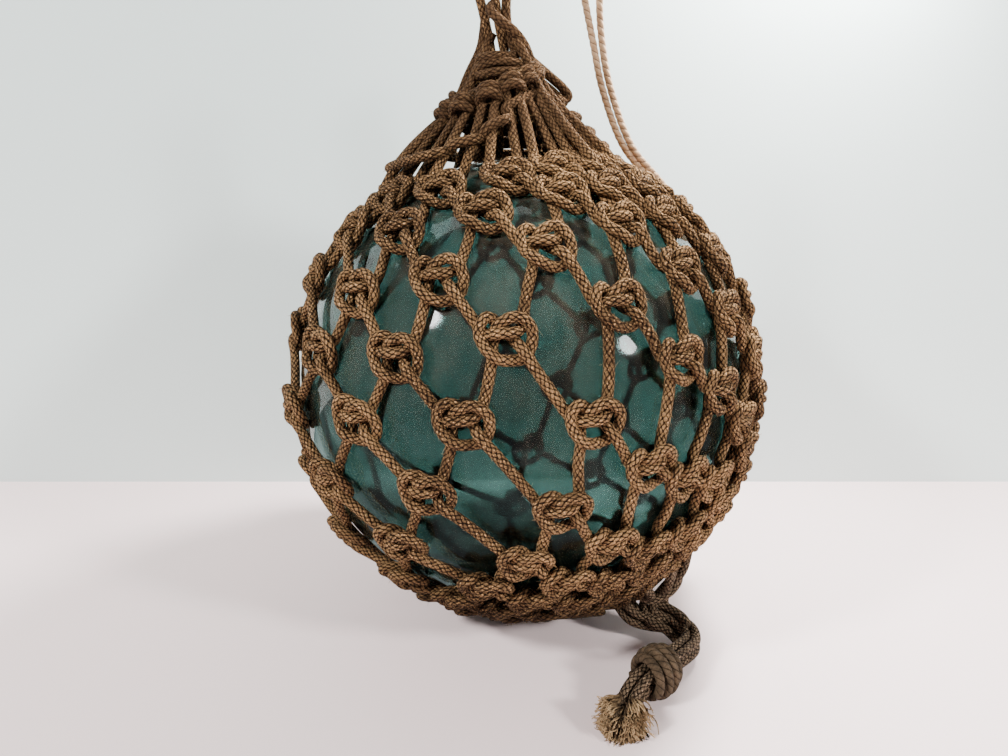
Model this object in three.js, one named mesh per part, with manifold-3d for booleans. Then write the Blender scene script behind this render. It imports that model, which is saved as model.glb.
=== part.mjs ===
// Glass float ball in a knotted rope net.
//
// A sealed ball of hand-blown glass sits in a net of brown rope. The net is worked in rings of meshes,
// a knot at every crossing. Its top bights are drawn together on a spiralling drawstring, with a hanging
// loop above, and its bottom bights are closed low at the right, where four rope ends hang out, lashed
// together and frayed. A thin doubled jute cord is tied to the net behind.
//
// Millimetres, +Z up, front towards -Y. The float stands on the flats that its weight presses into its
// lowest knots; the origin is the middle of its footprint, on the floor.

import * as THREE from 'three';
import { ConvexGeometry } from 'three/addons/geometries/ConvexGeometry.js';
import { mergeVertices } from 'three/addons/utils/BufferGeometryUtils.js';
import Module from 'manifold-3d';

const wasm = await Module();
wasm.setup();

// The glass
const glassRadius = 140;
const centreHeight = 149.5;       // ball centre above the floor

// The rope
const ropeDiameter = 5.6;
const ropeSide = 5;               // a square section of the rope's own area
const knotLift = 7.7;             // knot centre above the glass
const knotReach = 12;             // knot centre to where a leg leaves it
const knotCrown = 7;              // half the knot's thickness
const crownRadius = 8;
const footRadius = 6;             // where the knot touches the glass
const legsApart = 30;             // degrees between neighbouring legs where they leave a knot
const knotSpacing = 27;           // knots jam against each other no closer than this

// The net: rings of knots from the top gather to the bottom gather, which aren't opposite each other
const columns = 13;
const rings = 11;
const topGather = { azimuth: -90, height: 86 };
const bottomGather = { azimuth: 46, height: -56 };
const middleRing = 4;
const middleLevel = 0.148;
const levelPerRing = -0.271;
const levelCurve = 0.003;
const startTurn = 292;            // degrees
const twistPerRing = 0.033;       // in columns
const twistCurve = -0.023;
// Where handling has dragged the net over the glass: a place, and how far east and north, in degrees
const drags = [
  { azimuth: 14, height: 26.5, east: 0, north: -6.5 },
  { azimuth: -58, height: 24, east: 9, north: 0 },
  { azimuth: 8, height: -11.5, east: 11, north: -20 },
  { azimuth: -27, height: 34, east: -0.5, north: -8 },
  { azimuth: 3, height: 44, east: 5, north: 8.5 },
];
const dragSpread = 28;            // degrees

// The gathers
const bightLow = { azimuth: -40, radius: 36, height: 162 };
const bightHigh = { radius: 22, height: 186 };
const bightHalfWidth = 3;
const climbPower = 0.6;           // below 1, the tops soon leave the lowest one's height
const bunchRadius = 18;
const bunchDistance = 151;        // from the ball centre

// The tail
const tailSpread = 3.05;          // each of the four ends sits this far to a side of the bundle's middle
const lashingLength = 26;
const lashingTurns = 5;

// The jute cord
const juteDiameter = 4.8;

const radians = THREE.MathUtils.degToRad;

// A unit vector: azimuth 0 is the front, 90 the right side
function heading(azimuth, height) {
  const a = radians(azimuth);
  const h = radians(height);
  return new THREE.Vector3(Math.cos(h) * Math.sin(a), -Math.cos(h) * Math.cos(a), Math.sin(h));
}

const headingOf = ({ azimuth, height }) => heading(azimuth, height);

// ---------------------------------------------------------------- layout of the net

// A point of an even net drawn between two gathers: rings are circles that close in on either gather,
// and a net between opposite poles is slid over the ball until its poles come to the gathers.
function evenNetPoint(turn, level) {
  const top = headingOf(topGather);
  const bottom = headingOf(bottomGather);
  const axis = top.clone().sub(bottom).normalize();
  const side = top.clone().add(bottom);
  const slide = side.length() / 2;
  side.normalize();
  const across = new THREE.Vector3().crossVectors(axis, side);
  const point = axis.clone().multiplyScalar(Math.tanh(level))
    .addScaledVector(side, Math.cos(turn) / Math.cosh(level))
    .addScaledVector(across, Math.sin(turn) / Math.cosh(level));
  const along = point.dot(side);
  point.addScaledVector(side, -along).multiplyScalar(Math.sqrt(1 - slide * slide));
  return point.addScaledVector(side, along + slide).divideScalar(1 + slide * along);
}

function dragged(direction) {
  const point = direction.clone();
  for (const drag of drags) {
    const reach = point.angleTo(headingOf(drag)) / radians(dragSpread);
    const share = Math.exp(-reach * reach);
    const east = new THREE.Vector3(-point.y, point.x, 0).normalize();
    const north = new THREE.Vector3().crossVectors(point, east).normalize();
    point.addScaledVector(east, share * radians(drag.east));
    point.addScaledVector(north, share * radians(drag.north)).normalize();
  }
  return point;
}

// Knots of odd rings sit half a column on, so that each hangs between two knots of the ring above
function knotDirection(ring, column) {
  const step = ring - middleRing;
  const level = middleLevel + levelPerRing * step + levelCurve * step * step;
  const shift = twistPerRing * step + twistCurve * step * step;
  const place = column + (ring % 2) / 2 + shift;
  return dragged(evenNetPoint(radians(startTurn + place * 360 / columns), level));
}

const wrap = (column) => (column + columns) % columns;

// Crowded knots push each other along the glass until none is closer than the knot spacing
function spreadKnots(directions) {
  const near = knotSpacing / (glassRadius + knotLift);
  const push = new THREE.Vector3();
  for (let pass = 0; pass < 60; pass += 1) {
    for (let i = 0; i < directions.length; i += 1) {
      for (let j = i + 1; j < directions.length; j += 1) {
        push.subVectors(directions[i], directions[j]);
        const gap = push.length();
        if (gap < near) {
          push.multiplyScalar((near - gap) / gap / 2);
          directions[i].add(push).normalize();
          directions[j].sub(push).normalize();
        }
      }
    }
  }
}

function layOutKnots() {
  const knots = [];
  for (let ring = 0; ring < rings; ring += 1) {
    for (let column = 0; column < columns; column += 1) {
      knots.push({ ring, column, normal: knotDirection(ring, column) });
    }
  }
  spreadKnots(knots.map((knot) => knot.normal));
  for (const knot of knots) knot.centre = knot.normal.clone().multiplyScalar(glassRadius + knotLift);
  return knots;
}

const knots = layOutKnots();
const knotAt = (ring, column) => knots[ring * columns + wrap(column)];
// The knots under a knot, at its left and its right
const lowerLeft = (knot) => knotAt(knot.ring + 1, knot.column - 1 + (knot.ring % 2));
const lowerRight = (knot) => knotAt(knot.ring + 1, knot.column + (knot.ring % 2));

// A point round the leaning axis of the cone, at a height above the ball centre
function roundCone(azimuth, radius, height) {
  const lean = headingOf(topGather);
  const point = heading(azimuth, 0).multiplyScalar(radius);
  return point.add(new THREE.Vector3(lean.x / lean.z, lean.y / lean.z, 1).multiplyScalar(height));
}

function coneAzimuth(point) {
  const lean = headingOf(topGather);
  const x = point.x - point.z * lean.x / lean.z;
  const y = point.y - point.z * lean.y / lean.z;
  return THREE.MathUtils.radToDeg(Math.atan2(x, -y));
}

// ---------------------------------------------------------------- the net as one closed body

// A square cross-section of the rope at a point: four corners, turning left as seen from ahead
function section(point, outward, ahead) {
  const across = new THREE.Vector3().crossVectors(outward, ahead).normalize();
  const up = new THREE.Vector3().crossVectors(ahead, across).normalize();
  return [[-1, -1], [1, -1], [1, 1], [-1, 1]].map(([a, b]) => point.clone()
    .addScaledVector(across, a * ropeSide / 2)
    .addScaledVector(up, b * ropeSide / 2));
}

// The same section as a rope that arrives at it sees it
const facing = (corners) => [corners[1], corners[0], corners[3], corners[2]];

// The four long sides of a rope through a row of sections
function sideFaces(sections) {
  const faces = [];
  for (let i = 1; i < sections.length; i += 1) {
    const [from, to] = [sections[i - 1], sections[i]];
    for (let k = 0; k < 4; k += 1) {
      const next = (k + 1) % 4;
      faces.push(from[k], from[next], to[next], from[k], to[next], to[k]);
    }
  }
  return faces;
}

// The knot's body: the hull of its ports, a crown and a smaller foot on the glass, without the port faces
function knotFaces(knot, ports) {
  const side = new THREE.Vector3().crossVectors(new THREE.Vector3(0, 0, 1), knot.normal).normalize();
  const rise = new THREE.Vector3().crossVectors(knot.normal, side);
  const body = [];
  for (const [level, radius, corners] of [[knotCrown, crownRadius, 4], [-knotCrown, footRadius, 3]]) {
    for (let k = 0; k < corners; k += 1) {
      const angle = 2 * Math.PI * (k + 0.3) / corners;
      body.push(knot.centre.clone().addScaledVector(knot.normal, level)
        .addScaledVector(side, radius * Math.cos(angle))
        .addScaledVector(rise, radius * Math.sin(angle)));
    }
  }
  const hull = new ConvexGeometry([...ports.flat(), ...body]).getAttribute('position');
  const onPort = (points, corners) => points.every((p) => corners.some((c) => c.distanceTo(p) < 1e-3));
  const faces = [];
  for (let i = 0; i < hull.count; i += 3) {
    const points = [0, 1, 2].map((k) => new THREE.Vector3().fromBufferAttribute(hull, i + k));
    if (!ports.some((corners) => onPort(points, corners))) faces.push(...points);
  }
  return faces;
}

// The tops of the bights: low at the front left, climbing round the cone to the back right
function topCorners(left, right) {
  const azimuth = coneAzimuth(left.centre.clone().add(right.centre).multiplyScalar(0.5));
  const climb = ((1 - Math.cos(radians(azimuth - bightLow.azimuth))) / 2) ** climbPower;
  const radius = THREE.MathUtils.lerp(bightLow.radius, bightHigh.radius, climb);
  const height = THREE.MathUtils.lerp(bightLow.height, bightHigh.height, climb);
  const half = THREE.MathUtils.radToDeg(bightHalfWidth / radius);
  return [azimuth - half, azimuth + half].map((a) => roundCone(a, radius, height));
}

// The tip of a bight of the last ring, on the rim of the bunch
function bunchTip(left, right) {
  const pole = headingOf(bottomGather);
  const middle = left.normal.clone().add(right.normal).normalize();
  const rim = middle.addScaledVector(pole, -middle.dot(pole)).normalize();
  return pole.multiplyScalar(bunchDistance).addScaledVector(rim, bunchRadius);
}

// What a knot's four legs run to, up-left, up-right, down-left and down-right: knots, or the ends of bights
function legTargets(knot) {
  const { ring, column } = knot;
  const [before, after] = [knotAt(ring, column - 1), knotAt(ring, column + 1)];
  const upper = ring > 0
    ? [knotAt(ring - 1, column - 1 + (ring % 2)).centre, knotAt(ring - 1, column + (ring % 2)).centre]
    : [topCorners(before, knot)[1], topCorners(knot, after)[0]];
  const lower = ring < rings - 1
    ? [lowerLeft(knot).centre, lowerRight(knot).centre]
    : [bunchTip(before, knot), bunchTip(knot, after)];
  return [...upper, ...lower];
}

// The square ends where the four legs leave the knot. Legs that set off together leave it side by side.
function portsOf(knot) {
  const side = new THREE.Vector3().crossVectors(new THREE.Vector3(0, 0, 1), knot.normal).normalize();
  const rise = new THREE.Vector3().crossVectors(knot.normal, side);
  const legs = legTargets(knot).map((target) => {
    const ahead = target.clone().sub(knot.centre).normalize();
    return { turn: Math.atan2(ahead.dot(rise), ahead.dot(side)), dip: ahead.dot(knot.normal) };
  });
  for (let pass = 0; pass < 40; pass += 1) {
    for (const one of legs) {
      for (const other of legs) {
        const apart = Math.atan2(Math.sin(other.turn - one.turn), Math.cos(other.turn - one.turn));
        const short = radians(legsApart) - Math.abs(apart);
        if (one !== other && short > 0) {
          one.turn -= Math.sign(apart) * short / 2;
          other.turn += Math.sign(apart) * short / 2;
        }
      }
    }
  }
  return legs.map(({ turn, dip }) => {
    const ahead = side.clone().multiplyScalar(Math.cos(turn)).addScaledVector(rise, Math.sin(turn))
      .addScaledVector(knot.normal, THREE.MathUtils.clamp(dip, -0.3, 0.3)).normalize();
    return section(knot.centre.clone().addScaledVector(ahead, knotReach), knot.normal, ahead);
  });
}

// A bight of the first ring: up from one knot, over at the drawstring, and down to the next knot
function topBightFaces(left, right) {
  const [up, down] = topCorners(left, right);
  const outward = up.clone().add(down).normalize();
  const before = up.clone().sub(left.centre).normalize();
  const over = down.clone().sub(up).normalize();
  const after = right.centre.clone().sub(down).normalize();
  return sideFaces([
    left.ports[1],
    section(up, outward, before.add(over)),
    section(down, outward, over.clone().add(after)),
    facing(right.ports[0]),
  ]);
}

// A bight of the last ring: from one knot to the bunch, and back to the next knot
function bottomBightFaces(left, right) {
  const tip = bunchTip(left, right);
  const ahead = right.centre.clone().sub(left.centre);
  return sideFaces([left.ports[3], section(tip, tip.clone().normalize(), ahead), facing(right.ports[2])]);
}

// The whole net, worked from ports that the knots and the legs share, so that it closes by itself
function netSolid() {
  for (const knot of knots) knot.ports = portsOf(knot);
  const faces = knots.flatMap((knot) => knotFaces(knot, knot.ports));
  for (const knot of knots.filter(({ ring }) => ring < rings - 1)) {
    faces.push(...sideFaces([knot.ports[2], facing(lowerLeft(knot).ports[1])]));
    faces.push(...sideFaces([knot.ports[3], facing(lowerRight(knot).ports[0])]));
  }
  for (let column = 0; column < columns; column += 1) {
    faces.push(...topBightFaces(knotAt(0, column), knotAt(0, column + 1)));
    faces.push(...bottomBightFaces(knotAt(rings - 1, column), knotAt(rings - 1, column + 1)));
  }
  return solidOf(new THREE.BufferGeometry().setFromPoints(faces));
}

// ---------------------------------------------------------------- solids and meshes

function solidOf(geometry) {
  const bare = geometry.clone();
  bare.deleteAttribute('normal');
  bare.deleteAttribute('uv');
  const merged = mergeVertices(bare, 1e-3);
  return new wasm.Manifold(new wasm.Mesh({
    numProp: 3,
    vertProperties: new Float32Array(merged.getAttribute('position').array),
    triVerts: new Uint32Array(merged.index.array),
  }));
}

function geometryOf(solid) {
  const mesh = solid.getMesh();
  const geometry = new THREE.BufferGeometry();
  geometry.setAttribute('position', new THREE.BufferAttribute(mesh.vertProperties, 3));
  geometry.setIndex(new THREE.BufferAttribute(mesh.triVerts, 1));
  geometry.computeVertexNormals();
  return geometry;
}

// Cut off flat at the floor
function cutAtFloor(solid) {
  const depth = 40;
  const below = new THREE.BoxGeometry(600, 600, depth);
  below.translate(0, 0, -centreHeight - depth / 2);
  return solid.subtract(solidOf(below));
}

// A rope or cord as a closed tube along a smooth curve
function ropeAlong(points, diameter, sides, steps) {
  const outline = new THREE.Shape();
  for (let k = 0; k < sides; k += 1) {
    const angle = 2 * Math.PI * k / sides;
    const corner = [Math.cos(angle) * diameter / 2, Math.sin(angle) * diameter / 2];
    if (k === 0) outline.moveTo(...corner);
    else outline.lineTo(...corner);
  }
  const extrudePath = new THREE.CatmullRomCurve3(points, false, 'centripetal');
  return new THREE.ExtrudeGeometry(outline, { steps, extrudePath, bevelEnabled: false });
}

const fibre = (colour) => new THREE.MeshStandardMaterial({ color: colour, roughness: 0.95, metalness: 0 });
const ropeBrown = fibre(0x6b5338);
const ropeGrey = fibre(0x5d4f40);
const jute = fibre(0xb08a62);
const glass = new THREE.MeshStandardMaterial({ color: 0x3c7f7d, roughness: 0.08, metalness: 0 });

// ---------------------------------------------------------------- the pieces

function glassFloat() {
  return new THREE.Mesh(new THREE.SphereGeometry(glassRadius, 28, 16).rotateX(Math.PI / 2), glass);
}

function ropeNet() {
  return new THREE.Mesh(geometryOf(cutAtFloor(netSolid())), ropeBrown);
}

// The drawstring starts over the legs at the front left, climbs round the cone over the bights, closes to
// wraps round the neck and stands up beside the hanging loop. Azimuth, radius and height round the cone.
function drawstring() {
  const route = [
    [-72, 79.5, 134], [-56, 72, 138], [-40, 66, 142.5], [-25, 62, 148], [-10, 55.5, 154.5], [5, 49.5, 162],
    [20, 42.5, 169.5], [35, 38.5, 174.5], [50, 36.5, 178], [80, 36.3, 181], [110, 35, 183], [140, 34.7, 184],
    [170, 33.6, 185], [200, 31.6, 186], [225, 29.8, 187], [250, 28, 188], [280, 26.2, 189], [310, 24.4, 190],
    [340, 22.5, 191.2], [370, 20.7, 192.2], [400, 19, 193.4], [430, 17.4, 194.6], [460, 16, 195.8],
    [500, 14.4, 197.2], [540, 13.2, 198.6], [580, 12.4, 200], [620, 12, 201.4], [660, 11.8, 202.8],
    [700, 11.8, 204.2], [740, 11.6, 205.8], [775, 11.4, 208],
  ].map(([azimuth, radius, height]) => roundCone(azimuth, radius, height));
  route.push(roundCone(87, 8.2, 215), roundCone(90, 5.8, 223), roundCone(90, 6.6, 231), roundCone(90, 12.5, 238));
  return new THREE.Mesh(ropeAlong(route, ropeDiameter, 6, 46), ropeBrown);
}

// The hanging loop comes up out of the neck as two parts and closes in an eye
function hangingLoop() {
  const eyeRadius = 14.5;
  const eye = { side: -3, height: 263 };
  const route = [[-4.2, 152], [-4.2, 170], [-4.6, 190], [-6, 205], [-9.5, 226], [-14, 244]];
  for (let angle = 170; angle >= 10; angle -= 20) {
    route.push([
      eye.side + eyeRadius * Math.cos(radians(angle)),
      eye.height + eyeRadius * Math.sin(radians(angle)),
    ]);
  }
  route.push([6, 247], [-0.6, 232], [-0.6, 222], [1.6, 205], [3.6, 190], [4.2, 170], [4.2, 152]);
  const points = route.map(([side, height]) => roundCone(90, side, height));
  return new THREE.Mesh(ropeAlong(points, ropeDiameter, 8, 22), ropeBrown);
}

// The tail's middle line: out of the bunch, round to the right and forward over the floor.
// Right of, behind and above the point of the floor under the ball's centre.
const tailRoute = [
  [58.9, -56.8, 30.2], [62.5, -60.4, 22.8], [68.5, -63, 16], [78.5, -63.5, 13], [90.5, -65, 11.8],
  [99, -74, 11], [98.5, -86, 11.4], [91.5, -96.5, 13], [82, -106.5, 14.3], [72, -116.5, 14.4],
  [62.5, -126, 14.2], [56.5, -132.5, 11.2], [52.5, -138.5, 7.8], [49.5, -145, 6.4], [47.5, -150.8, 6.3],
].map(([x, y, z]) => new THREE.Vector3(x, y, z - centreHeight));

// One of the four ends, a corner of the bundle's square
function tailRope(sideways, upwards) {
  const curve = new THREE.CatmullRomCurve3(tailRoute, false, 'centripetal');
  const points = tailRoute.map((point, i) => {
    const ahead = curve.getTangent(i / (tailRoute.length - 1));
    const side = new THREE.Vector3(ahead.y, -ahead.x, 0).normalize();
    const up = new THREE.Vector3().crossVectors(side, ahead).normalize();
    return point.clone().addScaledVector(side, sideways * tailSpread).addScaledVector(up, upwards * tailSpread);
  });
  return new THREE.Mesh(ropeAlong(points, ropeDiameter, 8, 12), ropeGrey);
}

// Five turns of twisted cord round the four ends
function tailLashing() {
  const [crest, groove, hole] = [14.2, 12.2, 8.9];
  const profile = [new THREE.Vector2(hole, lashingLength / 2), new THREE.Vector2(hole, -lashingLength / 2)];
  for (let k = 0; k <= 2 * lashingTurns; k += 1) {
    const along = lashingLength * (k / (2 * lashingTurns) - 0.5);
    profile.push(new THREE.Vector2(k % 2 ? crest : groove, along));
  }
  profile.push(profile[0].clone());
  const [before, after] = [tailRoute[8], tailRoute[10]];
  const geometry = new THREE.LatheGeometry(profile, 12);
  geometry.applyQuaternion(new THREE.Quaternion().setFromUnitVectors(
    new THREE.Vector3(0, 1, 0), after.clone().sub(before).normalize()));
  geometry.translate(...tailRoute[9]);
  return new THREE.Mesh(geometry, ropeGrey);
}

// The jute cord is doubled: up from the net behind as two parts, a small eye at the top, and down again to
// a short end at the right. The middle line, and how far each part is to a side of it.
function juteCord() {
  const middle = [
    [104, 2, 161.2, 2.7], [108, 14, 161.7, 2.7], [112, 27, 162.2, 2.7], [117, 39, 163, 2.7],
    [121.5, 50, 165.5, 2.7], [125, 60, 171.5, 2.7],
  ].map(([azimuth, height, distance, apart]) => [heading(azimuth, height).multiplyScalar(distance), apart]);
  for (const [x, z, apart] of [[55, 185, 2.7], [49, 210, 2.8], [44.5, 236, 4.6], [43.5, 247, 6.4]]) {
    middle.push([new THREE.Vector3(x, 50, z), apart]);
  }
  const eye = new THREE.Vector3(43.5, 50, 254);
  const eyeRadius = 7.4;
  const side = new THREE.Vector3(1, 0, 0);
  const up = middle.map(([point, apart]) => point.clone().addScaledVector(side, -apart));
  const down = middle.map(([point, apart]) => point.clone().addScaledVector(side, apart)).reverse();
  const over = [150, 110, 70, 30].map((angle) => eye.clone().add(
    new THREE.Vector3(Math.cos(radians(angle)), 0, Math.sin(radians(angle))).multiplyScalar(eyeRadius)));
  const end = [heading(101, -3).multiplyScalar(161), heading(98.5, -6).multiplyScalar(163)];
  return new THREE.Mesh(ropeAlong([...up, ...over, ...down, ...end], juteDiameter, 8, 42), jute);
}

// ---------------------------------------------------------------- the assembly

function floatInNet() {
  const body = new THREE.Group();
  const pieces = {
    glass_float: glassFloat(),
    rope_net: ropeNet(),
    drawstring: drawstring(),
  };
  const cords = {
    hanging_loop: hangingLoop(),
    tail_rope_1: tailRope(-1, 1),
    tail_rope_2: tailRope(1, 1),
    tail_rope_3: tailRope(-1, -1),
    tail_rope_4: tailRope(1, -1),
    tail_lashing: tailLashing(),
    jute_cord: juteCord(),
  };
  for (const [name, mesh] of Object.entries({ ...pieces, ...cords })) {
    mesh.name = name;
    body.add(mesh);
  }
  // the footprint's middle is that of the float, the net and the drawstring, without the loose cords
  const box = new THREE.Box3();
  for (const mesh of Object.values(pieces)) box.expandByObject(mesh);
  const middle = box.getCenter(new THREE.Vector3());
  body.position.set(-middle.x, -middle.y, centreHeight);
  const part = new THREE.Group();
  part.add(body);
  part.updateMatrixWorld(true);
  return part;
}

export default floatInNet();
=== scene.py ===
# Glass float ball in a knotted rope net.
#
# A hollow ball of hand-blown teal glass in a net of brown braided rope. The top meshes are drawn together on
# a drawstring under a hanging loop, the bottom ones are closed low at the right, where four rope ends hang
# out, lashed together and frayed. A thin doubled jute cord lies against the net behind.

import math
import random

import bpy
import numpy as np
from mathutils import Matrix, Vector


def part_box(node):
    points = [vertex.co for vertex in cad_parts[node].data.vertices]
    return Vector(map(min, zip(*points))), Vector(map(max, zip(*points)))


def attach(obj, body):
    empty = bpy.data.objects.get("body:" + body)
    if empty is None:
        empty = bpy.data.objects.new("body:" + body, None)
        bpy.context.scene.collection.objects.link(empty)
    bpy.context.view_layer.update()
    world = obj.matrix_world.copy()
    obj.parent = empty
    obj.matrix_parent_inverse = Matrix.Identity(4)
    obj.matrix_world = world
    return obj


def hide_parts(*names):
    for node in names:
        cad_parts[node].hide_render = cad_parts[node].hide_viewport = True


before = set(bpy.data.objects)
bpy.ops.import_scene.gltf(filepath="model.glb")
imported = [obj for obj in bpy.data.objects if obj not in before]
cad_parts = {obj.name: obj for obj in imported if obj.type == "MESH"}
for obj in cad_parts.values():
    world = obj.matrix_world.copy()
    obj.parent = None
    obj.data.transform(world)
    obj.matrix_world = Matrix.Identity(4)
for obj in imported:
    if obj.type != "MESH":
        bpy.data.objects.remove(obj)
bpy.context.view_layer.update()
bpy.ops.object.select_all(action="DESELECT")

# ---------------------------------------------------------------- the camera
# It stands half a metre in front of the float, nearly as high as the top of the ball, and looks down on it
# by 15 degrees.

MM = 0.001
ball_low, ball_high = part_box("glass_float")
ball_radius = (ball_high[2] - ball_low[2]) / 2
ball_centre = (Vector(ball_low) + Vector(ball_high)) / 2

camera_from_ball = Vector((-11.8, -478.3, 129.5)) * MM
looks_down = 15
bpy.ops.object.camera_add(
    location=ball_centre + camera_from_ball,
    rotation=(math.radians(90 - looks_down), 0, 0),
)
camera = bpy.context.object
camera.name = "camera"
camera.data.sensor_width = 36
camera.data.lens = 27.04
bpy.context.scene.camera = camera

# ---------------------------------------------------------------- the hanging loop
# Two parts of the net's own rope come up out of the neck of the gathered meshes and close in an eye above
# the view. The rope is plaited, as everywhere on the float.

rope_diameter = 5.6 * MM
rope_sides = 14
plait_columns = 7
plait_length = 4.0 * MM
rope_step = 1.2 * MM
rope_gap = 0.15 * MM


def heading(azimuth, height):
    """A unit vector: azimuth 0 is the front, 90 the right side."""
    a = math.radians(azimuth)
    h = math.radians(height)
    return Vector((math.cos(h) * math.sin(a), -math.cos(h) * math.cos(a), math.sin(h)))


# The meshes are gathered over this point of the ball, so the cone above it leans to the left
top_gather = heading(-90, 86)


def round_cone(azimuth, radius, height):
    """A point round the cone's leaning axis, in millimetres from the ball's centre."""
    lean = Vector((top_gather.x / top_gather.z, top_gather.y / top_gather.z, 1))
    return ball_centre + (heading(azimuth, 0) * radius + lean * height) * MM


def smooth(points, step, closed=False):
    """A centripetal curve through the points, walked in equal steps."""
    p = np.array([tuple(point) for point in points])
    if closed:
        before, start, end, after = (np.roll(p, shift, axis=0) for shift in (1, 0, -1, -2))
    else:
        ends = np.vstack([2 * p[0] - p[1], p, 2 * p[-1] - p[-2]])
        before, start, end, after = ends[:-3], ends[1:-2], ends[2:-1], ends[3:]

    def root(a, b):
        return np.maximum(np.linalg.norm(b - a, axis=1), 1e-9)[:, None] ** 0.5

    first, middle, last = root(before, start), root(start, end), root(end, after)
    leave = (start - before) / first - (end - before) / (first + middle) + (end - start) / middle
    arrive = (end - start) / middle - (after - start) / (middle + last) + (after - end) / last
    leave, arrive = leave * middle, arrive * middle
    curve = []
    cuts = 12
    for t in np.arange(0, 1, 1 / cuts):
        cubic = 2 * start - 2 * end + leave + arrive
        square = -3 * start + 3 * end - 2 * leave - arrive
        curve.append(start + leave * t + square * t * t + cubic * t ** 3)
    curve = np.stack(curve, axis=1).reshape(-1, 3)
    curve = np.vstack([curve, p[:1] if closed else p[-1:]])
    run = np.concatenate([[0], np.cumsum(np.linalg.norm(np.diff(curve, axis=0), axis=1))])
    places = np.linspace(0, run[-1], max(3, round(run[-1] / step)) + 1)
    even = np.stack([np.interp(places, run, curve[:, k]) for k in range(3)], axis=1)
    return even[:-1] if closed else even


def length_of(path, closed=False):
    steps = np.diff(path, axis=0, append=path[:1]) if closed else np.diff(path, axis=0)
    return float(np.linalg.norm(steps, axis=1).sum())


def frames_along(path, closed=False):
    """Two directions across the path at each point, which turn with it and never twist."""
    if closed:
        ahead = np.roll(path, -1, axis=0) - np.roll(path, 1, axis=0)
    else:
        ahead = np.gradient(path, axis=0)
    ahead /= np.linalg.norm(ahead, axis=1)[:, None]
    side = np.zeros_like(path)
    any_way = (0.31, 0.17, 0.93)
    start = np.cross(ahead[0], any_way)
    side[0] = start / np.linalg.norm(start)
    for i in range(1, len(path)):
        across = side[i - 1] - ahead[i] * np.dot(side[i - 1], ahead[i])
        side[i] = across / np.linalg.norm(across)
    up = np.cross(ahead, side)
    if closed:
        back = side[-1] - ahead[0] * np.dot(side[-1], ahead[0])
        turn = math.atan2(np.dot(back, up[0]), np.dot(back, side[0]))
        share = -turn * np.arange(len(path))[:, None] / len(path)
        side, up = side * np.cos(share) + up * np.sin(share), up * np.cos(share) - side * np.sin(share)
    return side, up


def tube(path, diameter, sides, closed=False, lay=plait_length, round_by=None, strands=0, twist=1.0):
    """A rope along a path: vertices, quads, the turn and the plaits at each corner, and whether it has ends.
    Strands, if there are any, stand out as ridges that go once round in every twist of plaits."""
    side, up = frames_along(path, closed)
    angle = 2 * np.pi * np.arange(sides) / sides
    radius = np.full(len(path), diameter / 2) if round_by is None else round_by * diameter / 2
    radius = np.repeat(radius[:, None], sides, axis=1)
    if strands:
        groove, ridge_power = 0.24, 0.6
        run = np.arange(len(path)) * length_of(path) / (len(path) - 1) / lay / twist
        ridge = np.abs(np.sin(strands / 2 * (angle[None, :] + 2 * np.pi * run[:, None])))
        radius *= 1 - groove + groove * ridge ** ridge_power
    rings = (path[:, None] + radius[:, :, None] * (
        side[:, None] * np.cos(angle)[:, None] + up[:, None] * np.sin(angle)[:, None]))
    count = len(path)
    spans = count if closed else count - 1
    i, j = np.meshgrid(np.arange(spans), np.arange(sides), indexing="ij")
    ahead, beside = (i + 1) % count, (j + 1) % sides
    quads = np.stack([i * sides + j, i * sides + beside, ahead * sides + beside, ahead * sides + j], axis=-1)
    length = length_of(path, closed)
    plaits = max(1, round(length / lay)) if closed else length / lay
    run = plaits * i / spans
    next_run = plaits * (i + 1) / spans
    corners = np.stack([
        np.stack([j / sides, run], axis=-1), np.stack([(j + 1) / sides, run], axis=-1),
        np.stack([(j + 1) / sides, next_run], axis=-1), np.stack([j / sides, next_run], axis=-1),
    ], axis=-2)
    return rings.reshape(-1, 3), quads.reshape(-1, 4), corners.reshape(-1, 4, 2), not closed


def piece_of(name, tubes, finish, press=None):
    """One mesh of several tubes, their ends closed, as a piece that rides on the root."""
    vertices, faces, corners = [], [], []
    first = 0
    for rings, quads, places, has_ends in tubes:
        vertices.append(rings)
        faces.extend((quads + first).tolist())
        corners.extend(places.reshape(-1, 2).tolist())
        if has_ends:
            sides = quads[:, 0].tolist().index(quads[0, 3])
            last = first + len(rings) - sides
            faces.append([first + k for k in reversed(range(sides))])
            corners.extend([places[k, 0].tolist() for k in reversed(range(sides))])
            faces.append([last + k for k in range(sides)])
            corners.extend([places[-sides + k, 3].tolist() for k in range(sides)])
        first += len(rings)
    vertices = np.vstack(vertices)
    if press:
        vertices = press(vertices)
    mesh = bpy.data.meshes.new(name)
    mesh.from_pydata(vertices.tolist(), [], faces)
    mesh.uv_layers.new(name="lay").data.foreach_set("uv", np.array(corners).ravel())
    mesh.shade_smooth()
    mesh.materials.append(finish)
    piece = bpy.data.objects.new(name, mesh)
    bpy.context.scene.collection.objects.link(piece)
    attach(piece, "root")
    return piece


def pressed(vertices):
    """Rope lies on the glass and on the floor, and is flattened there."""
    centre = np.array(ball_centre)
    out = vertices - centre
    reach = np.linalg.norm(out, axis=1)
    least = ball_radius + rope_gap
    vertices = centre + out * np.maximum(1, least / reach)[:, None]
    vertices[:, 2] = np.maximum(vertices[:, 2], 0)
    return vertices


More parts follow.
